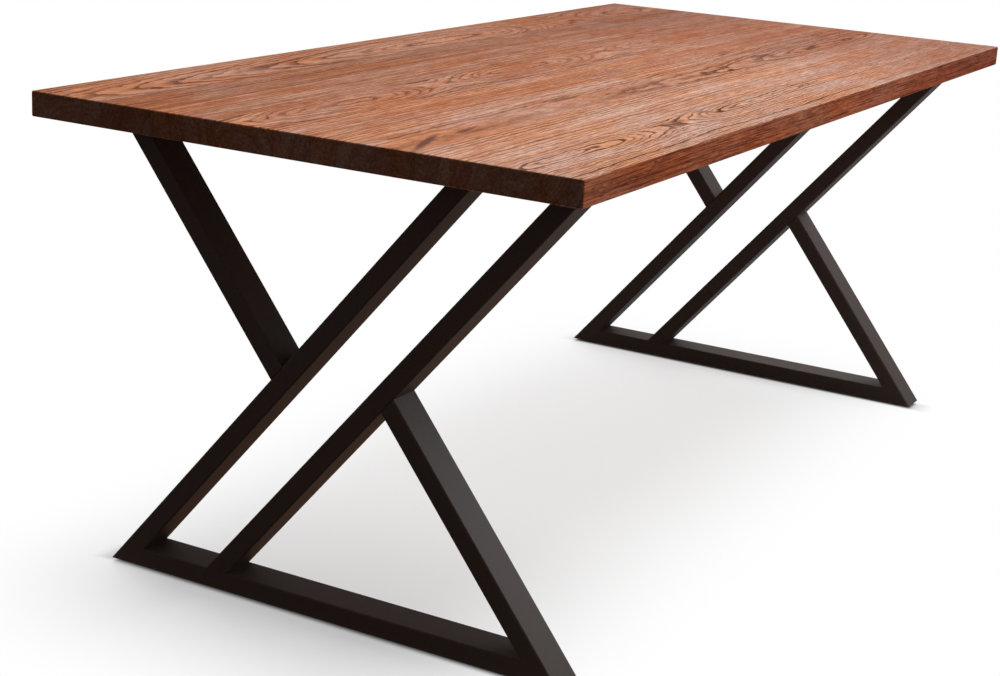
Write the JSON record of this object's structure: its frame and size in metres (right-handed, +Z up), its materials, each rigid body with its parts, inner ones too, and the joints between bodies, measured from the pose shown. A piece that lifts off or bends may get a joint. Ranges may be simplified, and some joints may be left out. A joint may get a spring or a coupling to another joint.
{
  "type": "sawbuck table",
  "caption": "Dining table with an edge-glued oak top bolted to welded steel-tube end frames, each an open X of doubled diagonals and offset struts on a floor rail.",
  "frame": {"origin": "on the floor, under the middle of the top", "axes": "+X along the length of the top, +Y across it, +Z up"},
  "size_m": [1.9, 0.88, 0.75],
  "materials": {
    "oak_top": "stained open-pore oak, satin",
    "frame_paint": "dark brown-black powder coat, satin",
    "zinc_steel": "bright zinc plate",
    "insert_brass": "turned brass",
    "glide_plastic": "moulded, matte"
  },
  "bodies": {
    "root": {"stave_1": "oak_top", "stave_2": "oak_top", "stave_3": "oak_top", "stave_4": "oak_top", "stave_5": "oak_top", "stave_6": "oak_top", "stave_7": "oak_top", "stave_8": "oak_top", "left_floor_rail": "frame_paint", "left_outer_diagonal": "frame_paint", "left_inner_diagonal": "frame_paint", "left_upper_strut": "frame_paint", "left_lower_strut": "frame_paint", "left_top_plate": "frame_paint", "left_front_glide": "glide_plastic", "left_back_glide": "glide_plastic", "right_floor_rail": "frame_paint", "right_outer_diagonal": "frame_paint", "right_inner_diagonal": "frame_paint", "right_upper_strut": "frame_paint", "right_lower_strut": "frame_paint", "right_top_plate": "frame_paint", "right_front_glide": "glide_plastic", "right_back_glide": "glide_plastic", "top_bolts": "zinc_steel", "bolt_washers": "zinc_steel", "thread_inserts": "insert_brass"}
  },
  "joints": []
}
